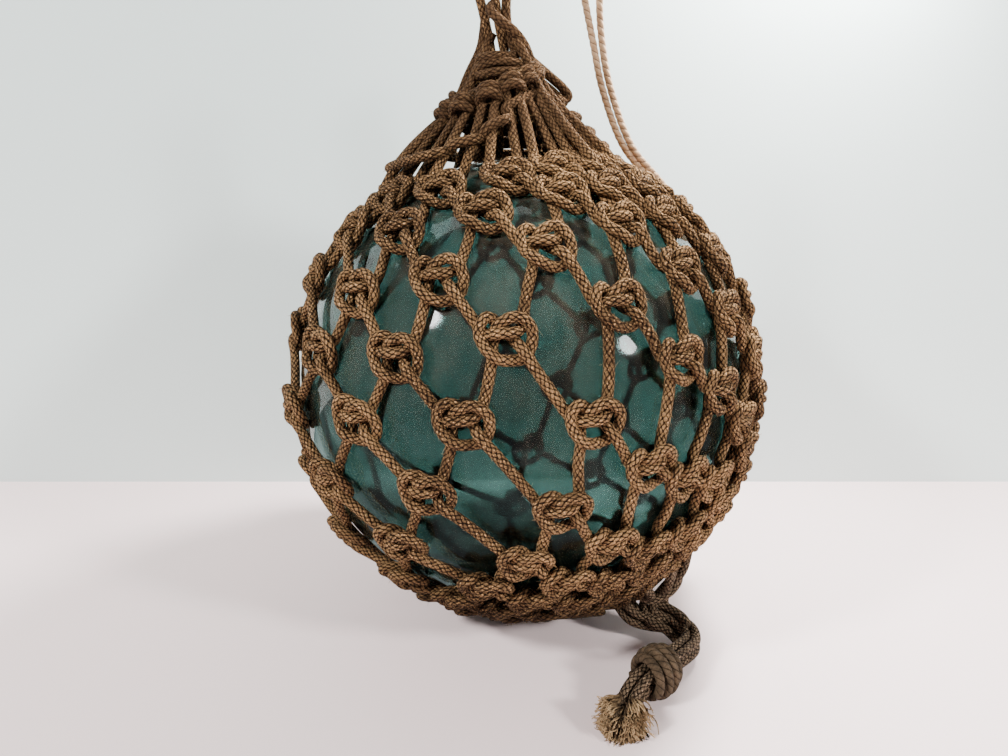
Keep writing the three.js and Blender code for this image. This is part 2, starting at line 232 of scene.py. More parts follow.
class Wire:
    """A value in a material. Python's operators on it add Math nodes."""

    def __init__(self, finish, socket):
        self.finish = finish
        self.socket = socket

    def math(self, operation, *values):
        return self.finish.node("Math", values, {"operation": operation})

    def __add__(self, other):
        return self.math("ADD", self, other)

    def __radd__(self, other):
        return self.math("ADD", other, self)

    def __sub__(self, other):
        return self.math("SUBTRACT", self, other)

    def __rsub__(self, other):
        return self.math("SUBTRACT", other, self)

    def __mul__(self, other):
        return self.math("MULTIPLY", self, other)

    def __rmul__(self, other):
        return self.math("MULTIPLY", other, self)

    def __pow__(self, other):
        return self.math("POWER", self, other)

    def sine(self):
        return self.math("SINE", self)

    def size(self):
        return self.math("ABSOLUTE", self)

    def floor(self):
        return self.math("FLOOR", self)

    def fraction(self):
        return self.math("FRACT", self)

    def clamped(self):
        return self.finish.node("Clamp", [self])

    def between(self, low, high):
        """0 below low, 1 above high, and smooth between them."""
        ends = {"Value": self, "From Min": low, "From Max": high}
        return self.finish.node("MapRange", ends, {"interpolation_type": "SMOOTHSTEP"})


class Finish:
    """One material. Each node comes from its type, its inputs and its settings."""

    def __init__(self, name):
        self.material = bpy.data.materials.new(name)
        self.material.use_nodes = True
        self.tree = self.material.node_tree
        self.tree.nodes.clear()

    def node(self, kind, inputs=(), settings=None, output=0):
        made = self.tree.nodes.new("ShaderNode" + kind)
        for key, value in (settings or {}).items():
            setattr(made, key, value)
        for key, value in inputs.items() if isinstance(inputs, dict) else enumerate(inputs):
            if isinstance(value, Wire):
                self.tree.links.new(value.socket, made.inputs[key])
            else:
                made.inputs[key].default_value = value
        return Wire(self, made.outputs[output])

    def place(self):
        """Object coordinates, in metres."""
        return self.node("TexCoord", output="Object")

    def height(self):
        """The height above the floor, in metres."""
        return self.node("SeparateXYZ", [self.place()], output="Z")

    def stretched(self, *scales):
        """Object coordinates, scaled by an amount of its own along each axis."""
        return self.node("VectorMath", [self.place(), scales], {"operation": "MULTIPLY"})

    def lay(self):
        """The turn round a rope and the plaits along it."""
        lay = self.node("UVMap", settings={"uv_map": "lay"})
        return self.node("SeparateXYZ", [lay], output="X"), self.node("SeparateXYZ", [lay], output="Y")

    def noise(self, scale, detail=3, vector=None, roughness=0.5):
        inputs = {"Scale": scale, "Detail": detail, "Roughness": roughness}
        inputs["Vector"] = self.place() if vector is None else vector
        return self.node("TexNoise", inputs)

    def mixed(self, factor, first, second):
        first, second = ((*c, 1) if isinstance(c, tuple) else c for c in (first, second))
        return self.node("Mix", {0: factor, 6: first, 7: second}, {"data_type": "RGBA"}, output=2)

    def bump(self, height, strength, distance):
        return self.node("Bump", {"Height": height, "Strength": strength, "Distance": distance})

    def surface(self, shader):
        """The material, closed with its shader."""
        closing = self.tree.nodes.new("ShaderNodeOutputMaterial")
        self.tree.links.new(shader.socket, closing.inputs["Surface"])
        return self.material


def plaited(name, high, low, crevice, matted, grime=None):
    """Braided rope: short plump plaits lean both ways in turn, with painted shade between them and painted
    glints, and the yarn is fuzzy.
    """
    finish = Finish(name)
    turn, along = finish.lay()
    wander = (finish.noise(190) - 0.5) * 1.1
    right = turn * plait_columns + along + wander
    left = turn * plait_columns - along + wander
    right_hill = (right * math.pi).sine().size()
    left_hill = (left * math.pi).sine().size()
    over = ((right.floor() + left.floor()) * 0.5).fraction() * 2
    plait = over * right_hill ** 0.75 * left_hill ** 0.3 + (1 - over) * left_hill ** 0.75 * right_hill ** 0.3
    fibre_place = finish.node("CombineXYZ", [turn * 60, along * 2.2, 0.0])
    fibre = finish.noise(1.0, detail=4, vector=fibre_place)
    patch = finish.noise(17)
    mottle = finish.noise(420, detail=4, roughness=0.7)
    glint = finish.noise(1300, detail=2).between(0.56, 0.7)
    tone = (patch * 0.55 + mottle * 0.45).between(0.36, 0.64)
    yarn = finish.mixed(tone, low, high)
    # Painted glints: tiny specks brighter than the yarn stand in for highlights
    glint_brightness = 2.8
    yarn = finish.mixed(glint * 0.9, yarn, tuple(min(1, glint_brightness * c) for c in high))
    # Painted shade: the hollows between the plaits take the crevice colour
    shade = (plait * (0.45 + fibre * 1.1) + (mottle - 0.5) * (matted + 0.35)).clamped()
    colour = finish.mixed(shade.between(0.24, 0.9), crevice, yarn)
    relief = plait * 0.9 + fibre * 0.3 + mottle * (0.3 + matted)
    if grime:
        # It gets painted shade near the floor, and is matted up on the cone
        floor_shade_full, floor_shade_top = 10 * MM, 100 * MM
        cone_foot, cone_head = 275 * MM, 312 * MM
        # Painted shade: low down, the rope turns patchily to its crevice colour
        floor_shade = (1 - finish.height().between(floor_shade_full, floor_shade_top)) * (0.45 + patch * 0.6)
        colour = finish.mixed(floor_shade.clamped(), colour, crevice)
        on_cone = finish.height().between(cone_foot, cone_head)
        mat = (finish.noise(380, detail=5, roughness=0.75) * 0.8 + plait * 0.22).between(0.28, 0.72)
        colour = finish.mixed(on_cone * 0.9, colour, finish.mixed(mat, crevice, grime))
        relief = relief * (1 - on_cone * 0.6) + mat * on_cone * 0.9
    return finish.surface(finish.node("BsdfPrincipled", {
        "Base Color": colour,
        "Roughness": 0.95 - shade * 0.1,
        "Specular IOR Level": 0.15,
        "Normal": finish.bump(relief, 1.0, 0.85 * MM),
    }))


loop_rope = plaited("loop_rope", (0.21, 0.118, 0.055), (0.11, 0.06, 0.03), (0.025, 0.013, 0.007), 0.5)

eye_radius = 14.5
eye_side, eye_height = -3, 263
loop_route = [(-4.2, 152), (-4.2, 170), (-4.6, 190), (-6, 205), (-9.5, 226), (-14, 244)]
for eye_angle in range(170, 0, -20):
    bend = math.radians(eye_angle)
    loop_route.append((eye_side + eye_radius * math.cos(bend), eye_height + eye_radius * math.sin(bend)))
loop_route += [(6, 247), (-0.6, 232), (-0.6, 222), (1.6, 205), (3.6, 190), (4.2, 170), (4.2, 152)]
loop_path = smooth([round_cone(90, side, height) for side, height in loop_route], rope_step)
hanging_loop = piece_of("hanging_loop_rope", [tube(loop_path, rope_diameter, rope_sides)], loop_rope)
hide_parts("hanging_loop")

# ---------------------------------------------------------------- the jute cord
# A light cord of two twisted yarns starts against the net behind, goes up to a small eye and comes back down
# beside itself to a cut end at the right.

jute_diameter = 4.8 * MM
jute_sides, jute_strands, jute_twist = 16, 2, 2.5
jute_step = 1.0 * MM
# The line between its two parts, and how far each is from it, in millimetres
jute_middle = [
    (heading(104, 2) * 161.2, 2.7), (heading(108, 14) * 161.7, 2.7), (heading(112, 27) * 162.2, 2.7),
    (heading(117, 39) * 163, 2.7), (heading(121.5, 50) * 165.5, 2.7), (heading(125, 60) * 171.5, 2.7),
    (Vector((55, 50, 185)), 2.7), (Vector((49, 50, 210)), 2.8), (Vector((44.5, 50, 236)), 4.6),
    (Vector((43.5, 50, 247)), 6.4),
]
jute_eye_radius = 7.4
jute_eye = Vector((43.5, 50, 254))
jute_route = [point - Vector((apart, 0, 0)) for point, apart in jute_middle]
for eye_angle in (150, 110, 70, 30):
    bend = math.radians(eye_angle)
    jute_route.append(jute_eye + Vector((math.cos(bend), 0, math.sin(bend))) * jute_eye_radius)
jute_route += [point + Vector((apart, 0, 0)) for point, apart in reversed(jute_middle)]
jute_route += [heading(101, -3) * 161, heading(98.5, -6) * 163]
jute_path = smooth([ball_centre + point * MM for point in jute_route], jute_step)


def twisted(name, high, low, crevice, strands, lay, sheen=0.0):
    """Cord laid up of a few twisted strands, with painted shade between them and hair-thin fibres along
    them.
    """
    finish = Finish(name)
    turn, along = finish.lay()
    strand = ((turn + along * (1 / lay)) * (strands * math.pi)).sine().size() ** 0.6
    fibre_place = finish.node("CombineXYZ", [(turn - along * 0.5) * 30, along * 3, 0.0])
    fibre = finish.noise(1.0, detail=4, vector=fibre_place)
    mottle = finish.noise(220, detail=4, roughness=0.7)
    yarn = finish.mixed((mottle * 0.6 + fibre * 0.4).between(0.35, 0.65), low, high)
    shade = (strand * (0.6 + fibre * 0.8)).clamped()
    # Painted shade: the grooves between the strands take the crevice colour
    colour = finish.mixed(shade.between(0.05, 0.6), crevice, yarn)
    relief = strand * 0.9 + fibre * 0.35 + mottle * 0.2
    return finish.surface(finish.node("BsdfPrincipled", {
        "Base Color": colour,
        "Roughness": 0.9,
        "Specular IOR Level": 0.25,
        "Sheen Weight": sheen,
        "Normal": finish.bump(relief, 0.9, 0.6 * MM),
    }))


jute_finish = twisted(
    "jute", (0.56, 0.37, 0.22), (0.34, 0.2, 0.11), (0.1, 0.055, 0.03), jute_strands, jute_twist, sheen=0.2)
jute_tube = tube(jute_path, jute_diameter, jute_sides, strands=jute_strands, twist=jute_twist)
jute_cord = piece_of("jute_line", [jute_tube], jute_finish)
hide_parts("jute_cord")

# ---------------------------------------------------------------- the tail
# The four ends of the rope that closes the net come out of the bottom gather, bend round to the right and
# forward over the floor, and are held together by four turns of twisted cord. Beyond it they fray.

# Half the way from one rope of the bundle to the next, in millimetres
tail_spread = 3.05
tail_route = [
    (58.9, -56.8, 30.2), (62.5, -60.4, 22.8), (68.5, -63, 16), (78.5, -63.5, 13), (90.5, -65, 11.8),
    (99, -74, 11), (98.5, -86, 11.4), (91.5, -96.5, 13), (82, -106.5, 14.3), (72, -116.5, 14.4),
    (62.5, -126, 14.2), (56.5, -132.5, 11.2), (52.5, -138.5, 7.8), (49.5, -145, 6.4), (47.5, -150.8, 6.3),
]
tail_line = [Vector((ball_centre.x, ball_centre.y, 0)) + Vector(point) * MM for point in tail_route]
tail_rope_finish = plaited("tail_rope", (0.15, 0.1, 0.062), (0.055, 0.038, 0.026), (0.01, 0.007, 0.005), 0.6)


def tail_points(sideways, upwards):
    """The line of one rope, a corner of the bundle's square."""
    points = []
    for i, point in enumerate(tail_line):
        before, after = tail_line[max(i - 1, 0)], tail_line[min(i + 1, len(tail_line) - 1)]
        ahead = (after - before).normalized()
        side = Vector((ahead.y, -ahead.x, 0)).normalized()
        up = side.cross(ahead)
        points.append(point + (side * sideways + up * upwards) * tail_spread * MM)
    return points


def on_floor(vertices):
    vertices[:, 2] = np.maximum(vertices[:, 2], 0.1 * MM)
    return vertices


tuft_spread, tuft_length = 3.6 * MM, 19 * MM
yarn_count, yarn_diameter, yarn_sides = 190, 0.85 * MM, 6
yarn_points, yarn_step, yarn_lay = 6, 1.0 * MM, 2.2 * MM
yarn_curl, yarn_droop = 0.085, 0.2


def frayed(name, foot, along, ahead, finish, seed):
    """Yarns that spring open ahead from the last stretch of a rope."""
    dice = random.Random(seed)
    yarns = []
    for _ in range(yarn_count):
        aside = Vector((dice.gauss(0, 1), dice.gauss(0, 1), dice.gauss(0, 1)))
        aside = (aside - ahead * aside.dot(ahead)) * 0.6
        offset = dice.uniform(-2, 15) * MM
        root = foot + aside * rope_diameter * 0.45 + along * offset
        reach = (tuft_length - offset * 0.85) * dice.uniform(0.75, 1.0)
        curl = Vector((dice.gauss(0, 1), dice.gauss(0, 1), dice.gauss(0, 1))) * reach * yarn_curl
        points = []
        for k in range(yarn_points):
            t = k / (yarn_points - 1)
            points.append(
                root + ahead * reach * t * (1 - 0.25 * t) + aside * tuft_spread * t ** 1.4
                + curl * math.sin(math.pi * t) - Vector((0, 0, yarn_droop)) * reach * t * t)
        line = smooth(points, yarn_step)
        taper = np.linspace(1.2, 0.55, len(line))
        yarns.append(tube(line, yarn_diameter, yarn_sides, lay=yarn_lay, round_by=taper))
    return piece_of(name, yarns, finish, on_floor)


tuft_finish = Finish("frayed_yarn")
tuft_grain = tuft_finish.noise(900, roughness=0.7)
tuft_tone = (tuft_finish.noise(130, detail=2) * 0.6 + tuft_grain * 0.4).between(0.34, 0.62)
# The yarn is dark where it leaves the rope
tuft_run = tuft_finish.lay()[1].between(0.6, 3.4)
tuft_yarn = tuft_finish.mixed(tuft_tone, (0.1, 0.06, 0.03), (0.42, 0.28, 0.15))
tuft_finish.surface(tuft_finish.node("BsdfPrincipled", {
    "Base Color": tuft_finish.mixed(tuft_run, (0.05, 0.031, 0.018), tuft_yarn),
    "Roughness": 0.9,
    "Specular IOR Level": 0.15,
    "Normal": tuft_finish.bump(tuft_grain, 0.6, 0.3 * MM),
}))

# The lashing is of three-strand cord, its turns a little askew and closer to the ropes at both ends
lashing_diameter = 5.1 * MM
lashing_sides, lashing_strands, lashing_twist = 18, 3, 2.8
lashing_turns, lashing_length = 4, 23 * MM
lashing_radius, lashing_taper, lashing_tilt = 11.8, 15, 1.5 * MM
lashing_step, turn_steps = 0.9 * MM, 12
lashed_at = 9
lashing_ahead = (tail_line[lashed_at + 1] - tail_line[lashed_at - 1]).normalized()
lashing_side = Vector((lashing_ahead.y, -lashing_ahead.x, 0)).normalized()
lashing_up = lashing_side.cross(lashing_ahead)
lashing_route = []
for k in range(lashing_turns * turn_steps + 1):
    turn = 2 * math.pi * k / turn_steps
    share = k / (lashing_turns * turn_steps) - 0.5
    reach = lashing_radius - lashing_taper * share * share
    lashing_route.append(
        tail_line[lashed_at] + lashing_ahead * (lashing_length * share - lashing_tilt * math.cos(turn))
        + (lashing_side * math.cos(turn) + lashing_up * math.sin(turn)) * reach * MM)
lashing_path = smooth(lashing_route, lashing_step)
lashing_finish = twisted(
    "lashing", (0.105, 0.07, 0.042), (0.032, 0.022, 0.014), (0.004, 0.003, 0.002),
    lashing_strands, lashing_twist)
lashing = piece_of(
    "lashing_cord", [tube(lashing_path, lashing_diameter, lashing_sides)], lashing_finish, pressed)
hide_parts("tail_lashing")

# Where a rope starts to fray and where its direction is taken from, in steps back from its tip
fray_foot, fray_aim = -13, -16
splay_sideways, splay_up = 0.75, 0.3
bundle_corners = [(-1, 1), (1, 1), (-1, -1), (1, -1)]
for number, (sideways, upwards) in enumerate(bundle_corners, start=1):
    path = smooth(tail_points(sideways, upwards), rope_step)
    rope_ahead = (Vector(path[-1]) - Vector(path[fray_aim])).normalized()
    outward = Vector((rope_ahead.y, -rope_ahead.x, 0)) * sideways * splay_sideways
    outward += Vector((0, 0, splay_up * upwards))
    tuft_ahead = (rope_ahead + outward).normalized()
    tuft = frayed(
        f"tuft_{number}", Vector(path[fray_foot]), rope_ahead, tuft_ahead, tuft_finish.material, number)
    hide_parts(f"tail_rope_{number}")
    end_rope = piece_of(f"tail_end_{number}", [tube(path, rope_diameter, rope_sides)], tail_rope_finish)
    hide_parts(f"tail_rope_{number}")

# ---------------------------------------------------------------- the net
# Brown braided rope, worked in rows: each row is one closed length that zigzags between its own knots and
# those of the row below. Every knot is a sheet bend with a second turn, and looks like a heart-shaped ring
# round a short bar.

columns, rings = 13, 11
bottom_gather = heading(46, -56)
middle_ring, middle_level = 4, 0.148
level_per_ring, level_curve = -0.271, 0.003
start_turn = 292
twist_per_ring, twist_curve = 0.033, -0.023
knot_lift, knot_spacing = 7.7, 27
# The knots of this hand lean a little to the right of their ropes
knot_lean = -11.3
# Where handling has dragged the net over the glass: a place, and how far east and north, in degrees
drags = [
    (heading(14, 26.5), 0, -6.5), (heading(-58, 24), 9, 0), (heading(8, -11.5), 11, -20),
    (heading(-27, 34), -0.5, -8), (heading(3, 44), 5, 8.5),
]
drag_spread = math.radians(28)


def even_net_point(turn, level):
    """A point of an even net between two gathers, its poles slid over the ball to them."""
    axis = (top_gather - bottom_gather).normalized()
    side = top_gather + bottom_gather
    slide = side.length / 2
    side.normalize()
    across = axis.cross(side)
    point = axis * math.tanh(level) + (side * math.cos(turn) + across * math.sin(turn)) / math.cosh(level)
    along = point.dot(side)
    point = (point - side * along) * math.sqrt(1 - slide * slide)
    return (point + side * (along + slide)) / (1 + slide * along)


def dragged(point):
    for place, east_by, north_by in drags:
        share = math.exp(-(point.angle(place) / drag_spread) ** 2)
        east = Vector((-point.y, point.x, 0)).normalized()
        north = point.cross(east).normalized()
        point = (point + east * share * math.radians(east_by)
                 + north * share * math.radians(north_by)).normalized()
    return point


class Knot:
    """Its place in the pattern, and the way out of the glass there."""

    def __init__(self, ring, column):
        step = ring - middle_ring
        level = middle_level + level_per_ring * step + level_curve * step * step
        place = column + (ring % 2) / 2 + twist_per_ring * step + twist_curve * step * step
        self.ring, self.column = ring, column
        self.normal = dragged(even_net_point(math.radians(start_turn + place * 360 / columns), level))


knots = [Knot(ring, column) for ring in range(rings) for column in range(columns)]


def knot_at(ring, column):
    return knots[ring * columns + column % columns]


def spread_knots():
    """Crowded knots push each other along the glass until none is closer than the knot spacing."""
    near = knot_spacing * MM / (ball_radius + knot_lift * MM)
    rounds = 60
    normals = [knot.normal for knot in knots]
    pairs = [
        (i, j) for i in range(len(knots)) for j in range(i + 1, len(knots))
        if (normals[i] - normals[j]).length < 2 * near
    ]
    for _ in range(rounds):
        for i, j in pairs:
            push = normals[i] - normals[j]
            gap = push.length
            if gap < near:
                push *= (near - gap) / gap / 2
                normals[i] = (normals[i] + push).normalized()
                normals[j] = (normals[j] - push).normalized()
    for knot, normal in zip(knots, normals):
        knot.normal = normal


spread_knots()

# The heads of the top bights and the tips of the bottom ones, in millimetres and degrees
bight_low_azimuth, bight_low_radius, bight_low_height = -65, 34, 162
bight_high_radius, bight_high_height = 15, 188
bight_half_width, climb_power = 3, 0.5
bunch_radius, bunch_distance = 18, 151


def cone_azimuth(point):
    """The azimuth of a place on the ball, seen from the cone's axis."""
    across = point - top_gather * (point.z / top_gather.z)
    return math.degrees(math.atan2(across.x, -across.y))


def top_corners(left, right):
    """The two shoulders of a top bight, low at the front left and high at the back right."""
    azimuth = cone_azimuth(left.normal + right.normal)
    climb = ((1 - math.cos(math.radians(azimuth - bight_low_azimuth))) / 2) ** climb_power
    radius = bight_low_radius + (bight_high_radius - bight_low_radius) * climb
    height = bight_low_height + (bight_high_height - bight_low_height) * climb
    half = math.degrees(bight_half_width / radius)
    return [round_cone(azimuth + turn, radius, height) for turn in (-half, half)]


def bunch_tip(left, right):
    """The tip of a bottom bight, on the rim of the bunch."""
    middle = (left.normal + right.normal).normalized()
    rim = (middle - bottom_gather * middle.dot(bottom_gather)).normalized()
    return ball_centre + (bottom_gather * bunch_distance + rim * bunch_radius) * MM


def on_glass(normal):
    return normal * ball_radius + ball_centre


for knot in knots:
    before, after = knot_at(knot.ring, knot.column - 1), knot_at(knot.ring, knot.column + 1)
    shift = knot.ring % 2
    if knot.ring > 0:
        upper_left = on_glass(knot_at(knot.ring - 1, knot.column - 1 + shift).normal)
        upper_right = on_glass(knot_at(knot.ring - 1, knot.column + shift).normal)
    else:
        upper_left, upper_right = top_corners(before, knot)[1], top_corners(knot, after)[0]
    if knot.ring < rings - 1:
        lower_left = on_glass(knot_at(knot.ring + 1, knot.column - 1 + shift).normal)
        lower_right = on_glass(knot_at(knot.ring + 1, knot.column + shift).normal)
    else:
        lower_left, lower_right = bunch_tip(before, knot), bunch_tip(knot, after)
    centre = on_glass(knot.normal)
    legs = [(target - centre).normalized() for target in (upper_left, upper_right, lower_left, lower_right)]
    east = legs[1] + legs[3] - legs[0] - legs[2]
    east = (east - knot.normal * east.dot(knot.normal)).normalized()
    north = knot.normal.cross(east)
    lean = math.radians(knot_lean)
    knot.east = east * math.cos(lean) + north * math.sin(lean)
    knot.up = north * math.cos(lean) - east * math.sin(lean)

# The two ropes of a knot, in millimetres: right, up, and out from the glass. The bight comes down from the
# upper left, crosses over as the bar and goes back up; the ring's rope goes twice round it.
knot_bight = [
    (-10.0, 2.8, 4.2), (-6.4, 1.2, 7.8), (-1.0, 1.2, 9.2), (3.9, 2.2, 7.8),
    (6.9, 4.9, 4.4), (7.9, 8.4, 3.0),
]
knot_ring = [
    (-6.4, -8.4, 2.9), (-6.2, -3.8, 2.9), (-5.4, 1.2, 3.2), (-4.2, 4.3, 6.4),
    (-1.0, 6.6, 9.2), (3.9, 8.6, 9.4), (8.2, 7.6, 8.8), (11.5, 3.7, 7.0), (12.2, -1.3, 4.8),
    (10.9, -5.8, 3.2), (7.4, -9.2, 2.9), (3.1, -10.3, 3.6), (-1.8, -9.8, 6.4), (-6.3, -7.4, 8.6),
    (-10.1, -3.1, 7.6), (-11.7, 1.9, 7.8), (-10.8, 6.3, 8.8), (-8.0, 8.9, 8.4), (-4.9, 8.2, 5.6),
    (-2.2, 5.6, 3.2), (1.0, 2.2, 3.0), (4.2, -1.4, 4.2), (7.2, -4.9, 7.6),
]
# How far the hand strays from them, and a rope between two knots from a straight line, in millimetres
knot_stray, lift_stray, leg_bow = 0.35, 0.15, 0.9
leg_step = 11 * MM
rng = random.Random(7)


def in_knot(knot, points):
    """A knot's rope points in their place on the ball, each a little off, as in hand work."""
    placed = []
    for right, up, out in points:
        right += rng.uniform(-knot_stray, knot_stray)
        up += rng.uniform(-knot_stray, knot_stray)
        out += rng.uniform(-lift_stray, lift_stray)
        way = knot.normal * ball_radius + (knot.east * right + knot.up * up) * MM
        placed.append(ball_centre + way.normalized() * (ball_radius + out * MM))
    return placed


def leg(start, end):
    """Rope from one place to another, taut, round the ball if that is in the way."""
    count = int((end - start).length / leg_step)
    least = ball_radius + rope_diameter / 2
    bow = Vector((rng.uniform(-1, 1), rng.uniform(-1, 1), rng.uniform(-1, 1))) * leg_bow * MM
    points = []
    for k in range(1, count):
        share = k / count
        point = start.lerp(end, share) + bow * math.sin(math.pi * share) - ball_centre
        if point.length < least:
            point = point.normalized() * least
        points.append(point + ball_centre)
    return points


def joined(stretches):
    """Knots, bights and the legs between them, as one closed row of points."""
    points = []
    for stretch, following in zip(stretches, stretches[1:] + stretches[:1]):
        points += stretch
        points += leg(stretch[-1], following[0])
    return points


def top_bight(column):
    left, right = top_corners(knot_at(0, column), knot_at(0, column + 1))
    crown_rise = Vector((0, 0, 2.6 * MM))
    crown = (left + right) / 2 + crown_rise
    return [left, crown, right]


def bottom_bight(column):
    return [bunch_tip(knot_at(rings - 1, column), knot_at(rings - 1, column + 1))]


def row_points(row):
    """The route of a row. Row -1 is the one of the top bights."""
    stretches = []
    for column in range(columns):
        if row < 0:
            stretches += [in_knot(knot_at(0, column), knot_bight), top_bight(column)]
            continue
        stretches.append(in_knot(knot_at(row, column), knot_ring))
        if row < rings - 1:
            stretches.append(in_knot(knot_at(row + 1, column + row % 2), knot_bight))
        else:
            stretches.append(bottom_bight(column))
    return joined(stretches)


net_rope = plaited(
    "net_rope", (0.3, 0.17, 0.078), (0.092, 0.05, 0.025), (0.009, 0.005, 0.003), 0.45,
    grime=(0.115, 0.062, 0.032))
net_step = 1.6 * MM
net_paths = []
for row in range(-1, rings):
    path = smooth(row_points(row), net_step, closed=True)
    net_paths.append(path)
    row_rope = piece_of(
        f"net_row_{row + 2}", [tube(path, rope_diameter, rope_sides, closed=True)], net_rope, pressed)
    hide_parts("rope_net")

# Over the bottom gather, four strands of the closing rope run to the tail, and one lies across them
gather_routes = [
    [heading(47, -37) * 146, heading(50, -43) * 155, heading(53, -49) * 159, Vector((80, -64, -130)),
     Vector((90, -68, -134)), Vector((97, -77, -137))],
    [heading(58, -36) * 146, heading(58, -42) * 155, heading(57, -48) * 160, Vector((88, -60, -128)),
     Vector((97, -68, -134)), Vector((101, -78, -138))],
    [heading(40, -44) * 146, heading(46, -47) * 155, heading(51, -53) * 160, Vector((77, -68, -134)),
     Vector((87, -73, -138)), Vector((93, -81, -141))],
    [heading(53, -40) * 148, heading(55, -45) * 155, Vector((82, -60, -126)), Vector((90, -63, -129)),
     Vector((97, -70, -131)), Vector((99, -76, -133))],
    [heading(44, -50) * 146, heading(49, -50) * 158, heading(55, -47) * 161, heading(60, -45) * 158,
     heading(64, -46) * 150],
]
gather_tubes = [
    tube(smooth([ball_centre + point * MM for point in route], rope_step), rope_diameter, rope_sides)
    for route in gather_routes
]
gather_strands = piece_of("gather_strands", gather_tubes, tail_rope_finish, pressed)
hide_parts("rope_net")

# ---------------------------------------------------------------- the drawstring
# The same rope, laid over the legs of the bights. It starts at the left, climbs round the cone, closes round
# the neck and ends beside the loop. Hitches sit on the heads of the bights, and strands run down the sides.

# Azimuth in degrees, then radius and height on the cone, in millimetres
drawstring_route = [
    (-89, 70, 132.5), (-80, 71.6, 133.5), (-64, 68.5, 136), (-50, 65.5, 138.6), (-39, 61.5, 141),
    (-34, 54.5, 143), (-30, 57.2, 145.4), (-21, 54.5, 147.8), (-16, 47.5, 149.8), (-13, 48.4, 153.8),
    (-9, 46.4, 156), (-1, 42.4, 158.6), (4, 35, 161), (1, 34.4, 165), (12, 30.4, 168.8), (30, 26.6, 172.5),
    (50, 25.5, 174.5), (80, 26, 176), (110, 27, 175), (140, 28.5, 173), (170, 30.5, 170), (200, 33, 166),
    (230, 35, 163), (260, 33, 165), (285, 29.5, 169), (310, 26, 173), (335, 23.5, 176.5), (360, 21.5, 179),
    (385, 20, 180.8), (410, 19, 182), (440, 18.4, 183),
]
neck_azimuth, neck_turn, neck_points = 440, 45, 23
neck_radius, neck_narrowing = 18, 0.26
neck_height, neck_rise = 183, 0.56
for k in range(1, neck_points + 1):
    radius = neck_radius - neck_narrowing * k + rng.uniform(-1.4, 1.6)
    height = neck_height + neck_rise * k + rng.uniform(-1.5, 1.5)
    drawstring_route.append((neck_azimuth + neck_turn * k, radius, height))
drawstring_route += [
    (1510, 9.6, 197.5), (1524, 7, 204), (1530, 5.2, 213), (1530, 5, 223), (1530, 6.6, 231),
    (1530, 12.5, 238),
]
drawstring_paths = [smooth([round_cone(*place) for place in drawstring_route], rope_step)]


def bight_middle(column):
    return knot_at(0, column).normal + knot_at(0, column + 1).normal


# A hitch of nearly two turns sits on the head of each bight: its size, climb in a turn, and place
hitch_width, hitch_depth, hitch_climb, hitch_drop, hitch_out = 5.6, 5.2, 5.2, 5.5, 1.6
hitch_route = []
for column in sorted(range(columns), key=lambda c: cone_azimuth(bight_middle(c))):
    left, right = top_corners(knot_at(0, column), knot_at(0, column + 1))
    head = (left + right) / 2
    climb = (head - on_glass(bight_middle(column).normalized())).normalized()
    side = (right - left).normalized()
    outward = side.cross(climb).normalized()
    for turn in range(-60, 600, 40):
        bend = math.radians(turn)
        hitch_route.append(
            head + climb * (turn / 360 * hitch_climb - hitch_drop) * MM
            - side * math.cos(bend) * hitch_width * MM
            + outward * (math.sin(bend) * hitch_depth + hitch_out) * MM)
drawstring_paths.append(smooth(hitch_route, rope_step))

# Two ropes run from the neck down the left, two down the right, and a slack bight lies out there
side_ropes = [
    [(-96, 6.5, 224), (-96, 8.6, 212), (-94, 11.5, 201), (-92, 19.5, 187), (-92, 27, 173), (-92, 33.5, 165),
     (-91, 44.5, 156.5), (-90, 57.5, 145.5), (-89, 69, 133), (-88, 77, 121)],
    [(-88, 4, 209), (-80, 8.4, 201), (-68, 14.4, 191), (-62, 21, 181), (-64, 27.5, 172), (-68, 35, 163),
     (-72, 46, 154), (-74, 60, 142), (-74, 70, 131), (-74, 77, 121)],
    [(-60, 3.5, 224), (-34, 7.8, 220.5), (8, 9.4, 214.5), (46, 12.4, 208.5), (66, 15.4, 202),
     (74, 17.6, 195), (76, 20.4, 187.5), (72, 26.5, 177.5), (68, 35.5, 167), (66, 49, 154.5), (66, 63, 141),
     (66, 76, 123)],
    [(50, 12.4, 205), (56, 16.5, 196), (54, 21.5, 186.5), (48, 29, 175.5), (46, 39.5, 164), (44, 53, 151),
     (44, 66, 138), (43, 76, 123)],
    [(98, 13, 199), (97, 21, 192.5), (97, 29, 186), (97, 36.5, 179.5), (97, 39.4, 175), (96, 36, 173),
     (96, 28.5, 178.5), (96, 19, 186)],
]

# One goes to and fro round the back, in and out of the bights' legs
back_laps, lap_points, lap_turn, lap_climb = 8, 12, 14, 4.3
back_azimuth, back_radius, back_height = 84, 66, 138
cone_slope, weave_depth = 0.95, 2.6
back_rope = []
for lap in range(back_laps):
    for k in range(lap_points):
        azimuth = back_azimuth + (k if lap % 2 == 0 else lap_points - 1 - k) * lap_turn
        climb = (lap + k / lap_points) * lap_climb
        weave = weave_depth if (k + lap) % 2 else -weave_depth
        back_rope.append((
            azimuth, back_radius - climb * cone_slope + weave, back_height + climb + rng.uniform(-0.8, 0.8)))
side_ropes.append(back_rope)
for route in side_ropes:
    drawstring_paths.append(smooth([round_cone(*place) for place in route], rope_step))
drawstring_tubes = [tube(path, rope_diameter, rope_sides) for path in drawstring_paths]
drawstring = piece_of("drawstring_rope", drawstring_tubes, net_rope, pressed)
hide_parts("drawstring")

# ---------------------------------------------------------------- the glass
# One blown ball, hollow, with a wall about 5 mm thick that is a little wavy inside. The glass is a clear
# teal, and dust has dried on its upper half.

